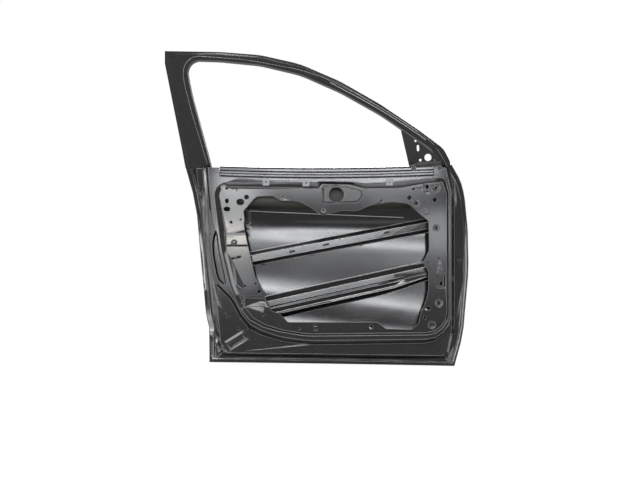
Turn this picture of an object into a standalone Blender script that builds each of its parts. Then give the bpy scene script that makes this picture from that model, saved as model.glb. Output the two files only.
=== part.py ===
"""Left front door shell of a crossover car, in pressed and spot-welded sheet steel, black primed.

The shell is drawn in door coordinates: X runs forward from the rear edge, Z runs up from the
bottom, Y runs outward from the cabin, and the inner panel's land is the plane Y = 0. Everything
hangs on one empty, which carries the centre of the upper hinge face to the world origin.
"""

import math

import bmesh
import bpy
from mathutils import Matrix, Vector
from mathutils.bvhtree import BVHTree
from mathutils.geometry import delaunay_2d_cdt

# Driving dimensions, in metres

BELT_Z = 0.745           # waist line over the bottom datum
BELT_SAG = 0.018         # dip of the waist line between its ends
FRONT_X = 1.091          # front edge of the inner land
CROWN_Y = 0.120          # deepest point of the outer skin, from the inner land
CROWN_X = 0.60           # where the skin is deepest
SHOULDER_Z = 0.555       # shoulder crease, under the handle
SHOULDER_SOFTNESS = 0.018
LEAN_ABOVE = 0.15        # slope of the skin from the shoulder in to the waist
LEAN_BELOW = 0.04        # slope from the shoulder down
SKIN_VERTICAL_R = 5.9    # barrel of the skin from the shoulder to the sill
SKIN_PLAN_R = 12.0       # bow of the skin along the car
FRAME_Y = 0.035          # cabin face of the window frame at the waist
FRAME_LEAN = math.radians(14)

SKIN_T = 0.0008
INNER_T = 0.0010
FRAME_T = 0.0012
REINFORCEMENT_T = 0.0014
BEAM_T = 0.0018
CLEARANCE = 0.0004       # between neighbouring sheets

HEM_WIDTH = 0.011        # skin folded back over the inner panel
SHUT_LEDGE_Y = 0.075     # ledge behind the hinge and latch faces
BAND_Y = 0.020           # seal band outside the land
PLATE_Y = 0.014          # sealing plate, sunk from the land
LENS_DEPTH = 0.020
JOGGLE_DEPTH = 0.005
RAIL_Y = 0.005           # flat of the window frame, behind its bead
RAIL_DEPTH = 0.036       # frame section, cabin face to outer face
MASTIC_GAP = 0.006       # between the beams and the skin
BEAM_DEPTH = 0.022
UPPER_BEAM_ZS = (0.374, 0.560)   # middle of the beam at its rear and front ends
UPPER_BEAM_HALF = 0.028
LOWER_BEAM_ZS = (0.168, 0.380)
LOWER_BEAM_HALF = 0.048
GROOVE_END_X = 0.845     # where the lower beam's groove starts to run out

HANDLE_X = 0.222         # middle of the outside handle's opening
HANDLE_Z = 0.573
HANDLE_OPENING = (0.108, 0.032)
HINGE_ZS = (0.205, 0.560)
CHECK_STRAP_Z = 0.330
LATCH_Z = 0.470
BOLT_R = 0.0055
BOLT_SPREAD = 0.027      # from a hinge's middle to each bolt

STEEL_COLOUR = (0.012, 0.012, 0.013, 1.0)
STEP = 0.032             # longest straight stretch along a curved hem
FAR = 4.0                # well outside the door, on every side


def front(distance):
    """X of a place measured forward from the land's front edge."""
    return FRONT_X + distance


def belt(distance):
    """Z of a place measured up from the waist."""
    return BELT_Z + distance


def belt_line(x):
    """Height of the dipping waist line at x."""
    middle = FRONT_X * 0.54
    return BELT_Z + 0.002 + BELT_SAG * ((x - middle) / middle) ** 2


def skin_y(x, z):
    """Middle of the outer skin's sheet: two leaning faces that meet in a soft shoulder."""
    rise = z - SHOULDER_Z
    above = math.log1p(math.exp(rise / SHOULDER_SOFTNESS)) - math.log(2)
    below = math.log1p(math.exp(-rise / SHOULDER_SOFTNESS)) - math.log(2)
    lean = SHOULDER_SOFTNESS * (LEAN_ABOVE * above + LEAN_BELOW * below)
    barrel = min(rise, 0.0) ** 2 / (2 * SKIN_VERTICAL_R)
    return CROWN_Y - lean - barrel - (x - CROWN_X) ** 2 / (2 * SKIN_PLAN_R)


def lean_y(z):
    """Cabin face of the leaning window frame."""
    return FRAME_Y - (z - BELT_Z) * math.tan(FRAME_LEAN)


def gap(first, second):
    """Distance between the middles of two sheets that lie face to face."""
    return (first + second) / 2 + CLEARANCE


# Outlines

def rounded(corners, closed=True, turn_step=math.radians(24)):
    """Points of an outline given as corners (x, z, radius), with an arc at each round corner."""
    points = []
    count = len(corners)
    for index, (x, z, radius) in enumerate(corners):
        here = Vector((x, z))
        at_end = not closed and index in (0, count - 1)
        if radius <= 0 or at_end:
            points.append(here)
            continue
        back = Vector(corners[index - 1][:2]) - here
        ahead = Vector(corners[(index + 1) % count][:2]) - here
        room = 0.46 * min(back.length, ahead.length)
        back.normalize()
        ahead.normalize()
        half = back.angle(ahead) / 2
        if half > math.radians(89):
            points.append(here)
            continue
        cut = min(radius / math.tan(half), room)
        bisector = (back + ahead).normalized()
        centre = here + bisector * (cut / math.cos(half))
        start = here + back * cut - centre
        turn = math.pi - 2 * half
        sign = 1 if back.cross(ahead) < 0 else -1
        steps = max(1, math.ceil(turn / turn_step))
        for step in range(steps + 1):
            angle = sign * turn * step / steps
            cos, sin = math.cos(angle), math.sin(angle)
            swung = Vector((start.x * cos - start.y * sin, start.x * sin + start.y * cos))
            points.append(centre + swung)
    return points


def divided(points, closed=False, step=STEP):
    """The same line with no stretch longer than step."""
    result = []
    count = len(points)
    for index in range(count if closed else count - 1):
        a, b = points[index], points[(index + 1) % count]
        parts = max(1, math.ceil((b - a).length / step))
        result += [a.lerp(b, part / parts) for part in range(parts)]
    return result if closed else result + [points[-1]]


def moved(points, distance, closed=False):
    """The line moved to its left by distance, mitred at every point."""
    result = []
    count = len(points)
    for index, here in enumerate(points):
        normals = []
        if closed or index > 0:
            normals.append(here - points[index - 1])
        if closed or index < count - 1:
            normals.append(points[(index + 1) % count] - here)
        normals = [Vector((-n.y, n.x)).normalized() for n in normals if n.length > 1e-7]
        if len(normals) == 1:
            result.append(here + normals[0] * distance)
        else:
            result.append(here + (normals[0] + normals[1]) * (distance / (1 + normals[0].dot(normals[1]))))
    return result


def circle(x, z, radius, sides=10):
    """A round hole's outline."""
    turns = [2 * math.pi * side / sides for side in range(sides)]
    return [Vector((x + radius * math.cos(t), z + radius * math.sin(t))) for t in turns]


def slot(x, z, length, width, tilt=0.0):
    """A round-ended slot's outline, its long way tilted up from X by tilt degrees."""
    along = Vector((math.cos(math.radians(tilt)), math.sin(math.radians(tilt))))
    across = Vector((-along.y, along.x))
    points = []
    for end in (1, -1):
        middle = Vector((x, z)) + along * (end * (length - width) / 2)
        for step in range(5):
            angle = math.pi * (step / 4 - 0.5)
            points.append(middle + (along * math.cos(angle) + across * math.sin(angle)) * (end * width / 2))
    return points


def inside(point, outline):
    """Whether a point lies inside a closed outline."""
    result = False
    previous = outline[-1]
    for here in outline:
        if (here.y > point.y) != (previous.y > point.y):
            crossing = here.x + (point.y - here.y) * (previous.x - here.x) / (previous.y - here.y)
            if point.x < crossing:
                result = not result
        previous = here
    return result


# Pressed sheets

class FormLine:
    """A line of a pressing: its points, and the height of the sheet along it."""

    def __init__(self, points, height, closed=True):
        self.points = points
        self.height = height if callable(height) else lambda x, z: height
        self.closed = closed


def triangulated(lines):
    """Triangles through every line, with the first form line that each vertex came from.

    Four far points keep the lines off the triangulation's own edge, where slivers form.
    """
    coords, edges, owners = [], [], []
    for line in lines:
        start = len(coords)
        coords += line.points
        owners += [line] * len(line.points)
        stretches = len(line.points) if line.closed else len(line.points) - 1
        if len(line.points) > 1:
            edges += [(start + i, start + (i + 1) % len(line.points)) for i in range(stretches)]
    coords += [Vector(corner) for corner in ((-FAR, -FAR), (FAR, -FAR), (FAR, FAR), (-FAR, FAR))]
    owners += [None] * 4
    verts, _, faces, originals, _, _ = delaunay_2d_cdt(coords, edges, [], 0, 1e-6)
    return verts, faces, [owners[min(o)] if o else None for o in originals]


def in_sheet(corners, outline, holes):
    """Whether a triangle belongs to a sheet: inside its outline and clear of its holes."""
    centre = sum(corners, Vector((0, 0))) / 3
    return inside(centre, outline) and not any(inside(centre, hole) for hole in holes)


def pressed_form(lines):
    """A pressing's whole surface, as triangles that a piece is then cut from."""
    verts, faces, owners = triangulated(lines)
    known = [(v, owner) for v, owner in zip(verts, owners) if owner]
    heights = []
    for vert, owner in zip(verts, owners):
        owner = owner or min(known, key=lambda pair: (pair[0] - vert).length)[1]
        heights.append(owner.height(vert.x, vert.y))
    return BVHTree.FromPolygons([(v.x, h, v.y) for v, h in zip(verts, heights)], faces)


def height_on(form, x, z):
    """Height of a pressing at a place, by a ray from the cabin side."""
    hit = form.ray_cast(Vector((x, -1.0, z)), Vector((0.0, 1.0, 0.0)))[0]
    return hit.y if hit else form.find_nearest(Vector((x, 0.0, z)))[0].y


def cut_sheet(name, lines, outline, holes=(), thickness=INNER_T, lift=0.0):
    """A pressed sheet: the form lines' surface, trimmed to an outline and pierced by holes.

    Lift moves the sheet outward from the form, for a piece that lies against another.
    """
    form = pressed_form(lines)
    cuts = [FormLine(cut, lambda x, z: height_on(form, x, z)) for cut in [outline] + list(holes)]
    verts, faces, owners = triangulated(list(lines) + cuts)
    mesh = bmesh.new()
    made = []
    for vert, owner in zip(verts, owners):
        height = owner.height(vert.x, vert.y) if owner else height_on(form, vert.x, vert.y)
        made.append(mesh.verts.new((vert.x, height + lift, vert.y)))
    for face in faces:
        if in_sheet([verts[i] for i in face], outline, holes):
            mesh.faces.new([made[i] for i in face])
    return sheet_object(name, mesh, thickness)


def grid_sheet(name, rows, thickness):
    """A sheet through rows of points, each row as long as the next."""
    mesh = bmesh.new()
    made = [[mesh.verts.new(point) for point in row] for row in rows]
    for low, high in zip(made, made[1:]):
        for i in range(len(low) - 1):
            mesh.faces.new((low[i], high[i], high[i + 1], low[i + 1]))
    return sheet_object(name, mesh, thickness)


# Objects

def fresh_collection(name):
    """A new collection in the scene."""
    collection = bpy.data.collections.new(name)
    bpy.context.scene.collection.children.link(collection)
    return collection


def primed_steel(name, roughness=0.32):
    """Black dip primer on steel, one material for each piece."""
    material = bpy.data.materials.new(name)
    material.use_nodes = True
    shader = material.node_tree.nodes["Principled BSDF"]
    shader.inputs["Base Color"].default_value = STEEL_COLOUR
    shader.inputs["Roughness"].default_value = roughness
    shader.inputs["Metallic"].default_value = 0.0
    return material


for old in list(bpy.data.objects):
    bpy.data.objects.remove(old, do_unlink=True)
shell = fresh_collection("car_door_shell")
origin = bpy.data.objects.new("upper_hinge_origin", None)
shell.objects.link(origin)


def placed(name, mesh):
    """A mesh as one named piece of the shell."""
    data = bpy.data.meshes.new(name)
    loose = [vert for vert in mesh.verts if not vert.link_faces]
    bmesh.ops.delete(mesh, geom=loose, context="VERTS")
    mesh.to_mesh(data)
    mesh.free()
    piece = bpy.data.objects.new(name, data)
    shell.objects.link(piece)
    piece.parent = origin
    data.materials.append(primed_steel(name))
    return piece


def sheet_object(name, mesh, thickness):
    """An open surface with its sheet's thickness."""
    piece = placed(name, mesh)
    solid = piece.modifiers.new("sheet thickness", "SOLIDIFY")
    solid.thickness = thickness
    solid.offset = 0.0
    solid.use_even_offset = True
    return piece


# Inner panel and outer skin: the hem line runs down the rear edge, along the bottom and up the front

HEM = divided(rounded([
    (0.072, belt(0.020), 0), (0.110, belt(-0.125), 0.5), (0.122, belt(-0.27), 0.7),
    (0.152, 0.185, 0.2), (0.164, 0.140, 0.02), (0.167, 0.008, 0),
    (front(0.020), -0.006, 0), (front(0.055), 0.113, 0.3), (front(0.080), 0.362, 0.5),
    (front(0.078), belt(-0.219), 0.3), (front(0.064), belt(-0.095), 0.2),
    (front(0.047), belt(-0.035), 0.1), (front(0.011), belt(0.026), 0),
], closed=False))


def skin_top(points, drop):
    """The skin's top edge, from the front end of the hem back to its rear end."""
    start, end = points[-1], points[0]
    parts = 18
    line = []
    for part in range(1, parts):
        x = start.x + (end.x - start.x) * part / parts
        line.append(Vector((x, belt_line(x) - drop)))
    return line


def flange_y(x, z):
    """Middle of the inner panel's sheet where it lies in the hem."""
    return skin_y(x, z) - gap(SKIN_T, INNER_T)


def outer_skin():
    """The skin with its handle opening, its edge folded back over the inner panel."""
    top_drop = 0.006
    outline = HEM + skin_top(HEM, top_drop)
    strip = moved(HEM, HEM_WIDTH + 0.004)
    columns = [0.20 + 0.125 * i for i in range(8)]
    soft = SHOULDER_SOFTNESS
    levels = [0.07, 0.165, 0.26, 0.355, 0.44]
    levels += [SHOULDER_Z + soft * i for i in (-4, -2.5, -1.4, -0.5, 0.4, 1.5, 3, 5)]
    crown = [Vector((x, z)) for x in columns for z in levels]
    top_strip = [Vector((p.x, p.y - 0.030)) for p in skin_top(HEM, top_drop)]
    lines = [FormLine(HEM, skin_y, closed=False), FormLine(skin_top(HEM, top_drop), skin_y, closed=False),
             FormLine(strip, skin_y, closed=False), FormLine(top_strip, skin_y, closed=False)]
    lines += [FormLine([point], skin_y) for point in crown if inside(point, strip)]
    holes = [slot(HANDLE_X, HANDLE_Z, *HANDLE_OPENING)]
    verts, faces, _ = triangulated(lines + [FormLine(hole, skin_y) for hole in holes])
    mesh = bmesh.new()
    made = [mesh.verts.new((v.x, skin_y(v.x, v.y), v.y)) for v in verts]
    for face in faces:
        if in_sheet([verts[i] for i in face], outline, holes):
            mesh.faces.new([made[i] for i in face])
    half_fold = gap(SKIN_T, INNER_T)
    rim = [min(range(len(verts)), key=lambda i, p=p: (verts[i] - p).length) for p in HEM]
    previous = [made[i] for i in rim]
    for outward, depth in ((half_fold, half_fold), (0.0, 2 * half_fold), (-HEM_WIDTH, 2 * half_fold)):
        ring = [mesh.verts.new((p.x, skin_y(p.x, p.y) - depth, p.y)) for p in moved(HEM, -outward)]
        for i in range(len(ring) - 1):
            mesh.faces.new((previous[i + 1], previous[i], ring[i], ring[i + 1]))
        previous = ring
    return sheet_object("outer_skin", mesh, SKIN_T)


LEDGE = moved(HEM, HEM_WIDTH + 0.009)
WALL_FOOT = rounded([
    (0.084, belt(0.10), 0), (0.135, belt(-0.115), 0.3), (0.150, belt(-0.27), 0.7),
    (0.182, 0.185, 0.15), (0.196, 0.110, 0.05), (0.200, 0.036, 0.015),
    (front(-0.004), 0.024, 0.02), (front(0.022), 0.135, 0.1), (front(0.022), belt(-0.095), 0.08),
    (front(-0.018), belt(0.06), 0),
], closed=False)
WALL_TOP = rounded([
    (0.140, belt(0.10), 0), (0.160, belt(-0.16), 0.2), (0.158, 0.480, 0.3), (0.180, 0.325, 0.1),
    (0.200, 0.240, 0.1), (0.211, 0.110, 0.05), (0.220, 0.048, 0.025),
    (front(-0.016), 0.037, 0.03), (front(0.004), 0.135, 0.1), (front(0.004), belt(-0.080), 0.08),
    (front(-0.028), belt(0.06), 0),
], closed=False)
BAND_EDGE = rounded([
    (0.149, belt(0.10), 0), (0.171, belt(-0.16), 0.12), (0.166, 0.480, 0.1), (0.186, 0.318, 0.06),
    (0.252, 0.250, 0.07), (0.312, 0.134, 0.13), (0.440, 0.094, 0.15), (0.550, 0.079, 0.2),
    (front(0.001), 0.086, 0.105), (front(0.001), belt(-0.078), 0.08), (front(-0.031), belt(0.06), 0),
], closed=False)
LAND_EDGE = rounded([
    (0.160, belt(0.10), 0), (0.183, belt(-0.165), 0.10), (0.176, 0.480, 0.1), (0.195, 0.325, 0.06),
    (0.262, 0.258, 0.07), (0.322, 0.151, 0.13), (0.440, 0.112, 0.15), (0.545, 0.097, 0.2),
    (front(-0.003), 0.103, 0.090), (front(-0.003), belt(-0.076), 0.08), (front(-0.035), belt(0.06), 0),
], closed=False)
STEP_TOP = rounded([
    (0.184, belt(-0.046), 0.050), (0.218, 0.441, 0.3), (0.256, 0.285, 0.2), (0.318, 0.166, 0.16),
    (0.440, 0.130, 0.2), (0.540, 0.1135, 0.2), (front(-0.008), 0.119, 0.085),
    (front(-0.009), belt(-0.088), 0.06), (front(-0.025), belt(-0.029), 0.014),
    (0.988, belt(-0.033), 0.05), (0.897, belt(-0.046), 0.1), (0.775, belt(-0.052), 0.05),
    (0.705, belt(-0.045), 0.05), (0.590, belt(-0.043), 0.010), (0.574, belt(-0.049), 0.02),
    (0.517, belt(-0.047), 0.1),
])
PLATE_EDGE = rounded([
    (0.204, belt(-0.062), 0.032), (0.236, 0.441, 0.3), (0.273, 0.291, 0.2), (0.330, 0.174, 0.15),
    (0.442, 0.137, 0.2), (0.545, 0.1205, 0.2), (front(-0.013), 0.126, 0.080),
    (front(-0.014), belt(-0.094), 0.05), (front(-0.029), belt(-0.043), 0.010),
    (0.988, belt(-0.051), 0.05), (0.897, belt(-0.067), 0.1), (0.765, belt(-0.069), 0.03),
    (0.705, belt(-0.054), 0.05), (0.598, belt(-0.052), 0.012), (0.588, belt(-0.070), 0.01),
    (0.517, belt(-0.070), 0.1),
])
LENS_TOP = rounded([
    (0.196, 0.524, 0.008), (0.182, 0.478, 0.06), (0.184, 0.42, 0.1), (0.202, 0.330, 0.05),
    (0.238, 0.293, 0.008), (0.232, 0.345, 0.2), (0.211, 0.440, 0.2), (0.204, 0.500, 0.02),
])
APERTURE = rounded([
    (0.301, 0.589, 0.012), (0.349, 0.645, 0.030), (0.413, 0.647, 0.030), (0.444, 0.629, 0.020),
    (0.494, 0.629, 0.080), (0.536, 0.616, 0.100), (0.602, 0.572, 0.015), (0.673, 0.591, 0.050),
    (0.734, 0.589, 0.050), (0.791, 0.612, 0.040), (0.868, 0.624, 0.030), (0.929, 0.618, 0.025),
    (0.974, 0.578, 0.020), (1.007, 0.551, 0.020), (1.009, 0.437, 0.040), (0.986, 0.395, 0.008),
    (1.007, 0.357, 0.030), (1.006, 0.273, 0.100), (0.974, 0.189, 0.030), (0.969, 0.162, 0.015),
    (0.944, 0.139, 0.015), (0.845, 0.141, 0.015), (0.812, 0.166, 0.020), (0.471, 0.166, 0.015),
    (0.436, 0.202, 0.010), (0.408, 0.208, 0.015), (0.383, 0.257, 0.020), (0.381, 0.280, 0.020),
    (0.345, 0.341, 0.020), (0.322, 0.441, 0.100), (0.303, 0.532, 0.050), (0.305, 0.563, 0.010),
])
PILLAR_SEAT = rounded([
    (0.112, belt(0.06), 0), (0.138, belt(0.06), 0),
    (0.146, belt(-0.060), 0.004), (0.125, belt(-0.060), 0.004),
])
FRAME_FOOT_Z = belt(0.010)
STRIP_XS = (0.2125, 1.026)   # rear and front ends of the waist strip on the cabin side
PULL_HOLE = (0.655, belt(-0.092), 0.035)
JOGGLE = (0.498, 0.506, 0.462, 0.454)


def plate_y(x, z):
    """The sealing plate, with the raised bead across its rear leg."""
    low_out, low_in, high_in, high_out = JOGGLE[3], JOGGLE[2], JOGGLE[1], JOGGLE[0]
    if x > 0.36:
        return PLATE_Y
    if high_in > z > high_out:
        return PLATE_Y - JOGGLE_DEPTH * (high_in - z) / (high_in - high_out)
    if high_out >= z >= low_in:
        return PLATE_Y - JOGGLE_DEPTH
    if low_in > z > low_out:
        return PLATE_Y - JOGGLE_DEPTH * (z - low_out) / (low_in - low_out)
    return PLATE_Y


def ledge_y(x, z):
    """The shut-face ledge, held clear of the skin where the door grows thin."""
    return min(SHUT_LEDGE_Y, skin_y(x, z) - 0.007)


PLATE_HOLES = [
    (0.237, 0.676, 0.0045), (0.275, 0.670, 0.003), (0.313, 0.642, 0.009), (0.291, 0.557, 0.0035),
    (0.254, 0.547, 0.005), (0.266, 0.464, 0.0055), (0.307, 0.304, 0.0045), (0.347, 0.313, 0.004),
    (0.362, 0.282, 0.0075), (0.376, 0.195, 0.0045), (0.514, 0.140, 0.0045),
    (0.788, 0.147, 0.0075), (0.992, 0.183, 0.005), (1.047, 0.238, 0.0045), (1.020, 0.155, 0.004),
    (1.002, 0.664, 0.003), (1.006, 0.392, 0.004), (1.048, 0.409, 0.0045), (1.031, 0.632, 0.008),
    (0.934, 0.640, 0.0085),
    (1.036, 0.678, 0.005), (0.961, 0.619, 0.006), (1.037, 0.525, 0.005), (0.451, 0.645, 0.003),
    (0.606, 0.592, 0.004), (0.826, 0.628, 0.004),
]
PLATE_SLOTS = [
    (0.289, 0.624, 0.030, 0.024, 0), (0.238, 0.628, 0.018, 0.013, 90), (0.238, 0.597, 0.025, 0.017, 0),
    (0.274, 0.411, 0.038, 0.009, 12), (0.950, 0.674, 0.014, 0.007, 35), (1.002, 0.682, 0.018, 0.012, 90),
    (1.004, 0.218, 0.023, 0.014, 0), (1.056, 0.312, 0.018, 0.009, 90), (0.576, 0.153, 0.014, 0.007, 0),
    (0.576, 0.138, 0.014, 0.007, 0),
]
DIMPLES = [              # place, outer radius and depth of each stamped seat on the plate
    (1.036, 0.678, 0.017, 0.003), (1.037, 0.525, 0.014, 0.003), (0.826, 0.629, 0.008, 0.002),
    (0.606, 0.592, 0.009, 0.002), (0.451, 0.645, 0.009, 0.002), (1.047, 0.238, 0.015, 0.003),
    (1.020, 0.155, 0.015, 0.003), (0.961, 0.619, 0.014, 0.003), (0.998, 0.588, 0.013, -0.003),
]
POCKETS = [              # corners, the height around it, and depth
    ([(0.320, 0.221, 0.008), (0.386, 0.222, 0.008), (0.366, 0.262, 0.008), (0.300, 0.265, 0.008)],
     PLATE_Y, 0.005),
    ([(0.986, 0.668, 0.014), (0.990, 0.654, 0.010), (1.014, 0.654, 0.010), (1.018, 0.668, 0.014),
      (1.018, 0.688, 0.003), (0.986, 0.688, 0.003)], PLATE_Y, 0.004),
    ([(1.036, 0.296, 0.005), (1.072, 0.296, 0.005), (1.072, 0.352, 0.006), (1.036, 0.352, 0.006)],
     PLATE_Y, 0.007),
    ([(0.250, 0.060, 0.004), (0.316, 0.100, 0.004), (0.297, 0.118, 0.004), (0.232, 0.079, 0.004)],
     BAND_Y, -0.006),
]
CORNER_HOLES = [(0.238, 0.186, 0.004), (0.281, 0.141, 0.004), (0.233, 0.20, 0.003)]


WALL_START = Vector((front(0.004), BAND_Y))
WALL_END = Vector((front(0.022), SHUT_LEDGE_Y))
WALL_ALONG = (WALL_END - WALL_START).normalized()
WALL_MIDDLE = (WALL_START + WALL_END) / 2
WALL_OUT = Vector((WALL_ALONG.y, -WALL_ALONG.x, 0.0))


def wall_hole(z, radius, sides=10):
    """A round hole in the hinge face, as it looks along the door's depth."""
    turns = [2 * math.pi * side / sides for side in range(sides)]
    across = radius * WALL_ALONG.x
    return [Vector((WALL_MIDDLE.x + across * math.cos(turn), z + radius * math.sin(turn))) for turn in turns]


def wall_slot(z, across, height):
    """The check strap's opening in the hinge face, seen the same way."""
    half = across / 2 * WALL_ALONG.x
    x = WALL_MIDDLE.x
    return [Vector(p) for p in ((x - half, z - height / 2), (x + half, z - height / 2),
                                (x + half, z + height / 2), (x - half, z + height / 2))]


def stamped_lines():
    """The rims and floors of the dimples and pockets."""
    lines = []
    for x, z, radius, depth in DIMPLES:
        lines += [FormLine(circle(x, z, radius, 12), PLATE_Y),
                  FormLine(circle(x, z, radius - 2 * abs(depth) / 3 - 0.0015, 12), PLATE_Y + depth)]
    for corners, base, depth in POCKETS:
        rim = rounded(corners)
        lines += [FormLine(rim, base), FormLine(moved(rim, abs(depth) * 0.8, closed=True), base + depth)]
    return lines


def inner_lines():
    """Every form line of the inner panel, from its hem flange to the middle of its plate."""
    flange_end = moved(HEM, HEM_WIDTH + 0.004)
    lens_floor = moved(LENS_TOP, 0.006, closed=True)
    joggle = [FormLine([Vector((0.236, z)), Vector((0.345, z))], plate_y, closed=False) for z in JOGGLE]
    return [
        FormLine(moved(HEM, 0.001), flange_y, closed=False),
        FormLine(flange_end, flange_y, closed=False),
        FormLine(LEDGE, ledge_y, closed=False),
        FormLine(WALL_FOOT, ledge_y, closed=False),
        FormLine(WALL_TOP, BAND_Y, closed=False),
        FormLine(BAND_EDGE, BAND_Y, closed=False),
        FormLine(LAND_EDGE, 0.0, closed=False),
        FormLine(LENS_TOP, 0.0),
        FormLine(lens_floor, LENS_DEPTH),
        FormLine(STEP_TOP, 0.0),
        FormLine(PLATE_EDGE, PLATE_Y),
        FormLine(PILLAR_SEAT, lambda x, z: lean_y(z) + RAIL_Y - gap(INNER_T, FRAME_T)),
    ] + joggle + stamped_lines()


def inner_outline():
    """The hem flange's edge, closed by the panel's top edge under the waist."""
    edge = [p for p in moved(HEM, 0.001) if p.y < FRAME_FOOT_Z - 0.001]
    middle = []
    strip_front, strip_rear = STRIP_XS[1] + 0.0015, STRIP_XS[0] - 0.0015
    for part in range(11):
        x = strip_front + (strip_rear - strip_front) * part / 10
        middle.append((x, belt_line(x) - 0.034, 0))
    top = FRAME_FOOT_Z - CLEARANCE
    corners = [(front(0.012), top, 0), (strip_front, top, 0.003)] + middle + [
               (strip_rear, top, 0.003), (0.082, top, 0)]
    return edge + rounded(corners, closed=False)


def inner_panel():
    """The deep-drawn inner panel, in one pressing."""
    holes = [APERTURE, circle(*PULL_HOLE, sides=20)]
    holes += [circle(x, z, r, 8 if r < 0.006 else 12) for x, z, r in PLATE_HOLES + CORNER_HOLES]
    holes += [slot(*values) for values in PLATE_SLOTS]
    holes += [wall_hole(z, BOLT_R) for place in HINGE_ZS for z in (place - BOLT_SPREAD, place + BOLT_SPREAD)]
    holes += [wall_slot(CHECK_STRAP_Z, 0.030, 0.020)] + latch_holes()
    return cut_sheet("inner_panel", inner_lines(), inner_outline(), holes, INNER_T)


# Window frame

FRAME_TURN = math.radians(7)   # how finely its wide bends are divided
RIM = rounded([
    (front(0.008), belt(-0.03), 0), (front(0.001), belt(0.036), 0.02), (1.065, 0.829, 0.08),
    (0.974, 0.894, 0.3), (0.820, 0.993, 0.3), (0.668, 1.076, 0.3), (0.518, 1.138, 0.3),
    (0.369, 1.170, 0.3), (0.220, 1.181, 0.3), (0.014, 1.184, 0),
    (0.012, 1.140, 0), (0.064, 0.832, 0.5), (0.090, belt(-0.08), 0),
], closed=False, turn_step=FRAME_TURN)
WINDOW = rounded([
    (0.198, belt(-0.08), 0), (0.168, 0.800, 0.3), (0.108, 1.040, 0.6), (0.092, 1.150, 0.046),
    (0.218, 1.146, 0.3), (0.367, 1.132, 0.3), (0.518, 1.098, 0.3), (0.669, 1.034, 0.3),
    (0.821, 0.952, 0.3), (1.018, 0.823, 0.03),
    (1.056, belt(-0.03), 0),
], closed=False, turn_step=FRAME_TURN)


def frame_line(points, setback):
    """A form line of the frame, set back outward from its leaning cabin face."""
    return FormLine(points, lambda x, z: lean_y(z) + setback, closed=False)


def frame_outline(rim, window, tongue=()):
    """The frame's band between its rim and the window opening, with both feet at the waist."""
    z = FRAME_FOOT_Z
    corners = [Vector((x_at(line, z), z)) for line in (rim, rim[::-1], window, window[::-1])]
    rim_above = [p for p in rim if p.y > z + 0.001]
    window_above = [p for p in window if p.y > z + 0.001]
    return [corners[0]] + rim_above + [corners[1]] + list(tongue) + [corners[2]] + window_above + [corners[3]]


def window_frame_inner():
    """The cabin half: seal flange, bead, flat rail and the return into the window opening."""
    flange, bead = 0.009, 0.020
    lines = [
        frame_line(RIM, 0.010), frame_line(moved(RIM, flange), 0.010),
        frame_line(moved(RIM, flange + 0.004), 0.0), frame_line(moved(RIM, bead), 0.0),
        frame_line(moved(RIM, bead + 0.004), RAIL_Y),
        frame_line(moved(WINDOW, 0.004), RAIL_Y), frame_line(WINDOW, RAIL_Y + 0.017),
    ]
    tongue = [Vector(p) for p in ((0.128, FRAME_FOOT_Z), (0.130, belt(-0.048)),
                                  (0.141, belt(-0.048)), (0.139, FRAME_FOOT_Z))]
    cut_sheet("window_frame_inner", lines, frame_outline(RIM, WINDOW, tongue), thickness=FRAME_T)


def window_frame_outer():
    """The outer half: lapped on the inner half's flange, and carrying the glass run."""
    flange = 0.010 + gap(FRAME_T, FRAME_T)
    rim = moved(RIM, 0.0005)
    lines = [
        frame_line(rim, flange), frame_line(moved(RIM, 0.012), flange),
        frame_line(moved(RIM, 0.018), RAIL_DEPTH), frame_line(moved(WINDOW, 0.009), RAIL_DEPTH),
        frame_line(moved(WINDOW, 0.001), RAIL_DEPTH - 0.005),
    ]
    cut_sheet("window_frame_outer", lines, frame_outline(rim, moved(WINDOW, 0.001)), thickness=FRAME_T)


def sail_panel():
    """The triangular mirror plate ahead of the glass, lapped on the frame and behind the land."""
    foot_y = gap(INNER_T, REINFORCEMENT_T)
    face = -gap(FRAME_T, REINFORCEMENT_T)
    outline = rounded([
        (0.898, 0.903, 0.004), (0.938, belt(0.020), 0.004), (1.032, belt(0.020), 0.003),
        (1.036, belt(-0.022), 0.004), (1.054, belt(-0.022), 0.004), (1.056, belt(0.038), 0.006),
        (1.045, 0.797, 0.020), (1.010, 0.825, 0.3), (0.946, 0.870, 0.3),
    ])
    heights = ((-0.03, foot_y), (0.015, foot_y), (0.033, lambda x, z: lean_y(z) + RAIL_Y + face),
               (0.20, lambda x, z: lean_y(z) + RAIL_Y + face))
    lines = [FormLine([Vector((0.88, belt(rise))), Vector((1.10, belt(rise)))], y, closed=False)
             for rise, y in heights]
    holes = [circle(0.957, 0.857, 0.0045), slot(0.967, 0.830, 0.024, 0.009, 95),
             circle(1.006, 0.795, 0.0135, 16), circle(0.977, 0.785, 0.005), circle(1.033, 0.785, 0.005)]
    cut_sheet("sail_panel", lines, outline, holes, REINFORCEMENT_T)


# Waist reinforcements

def belt_reinforcement_inner():
    """The beaded strip along the waist, lapped behind the land's top edge."""
    lap = gap(INNER_T, REINFORCEMENT_T)
    section = [(-0.040, lap), (-0.0325, lap), (-0.0285, -0.005), (-0.023, -0.005), (-0.019, 0.001),
               (-0.012, 0.001), (-0.008, -0.005), (-0.001, -0.005), (0.005, 0.001), (0.008, 0.026)]
    stations = [STRIP_XS[0] + (STRIP_XS[1] - STRIP_XS[0]) * i / 15 for i in range(16)]
    rows = [[(x, y, belt_line(x) + rise) for x in stations] for rise, y in section]
    grid_sheet("belt_reinforcement_inner", rows, REINFORCEMENT_T)


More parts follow.
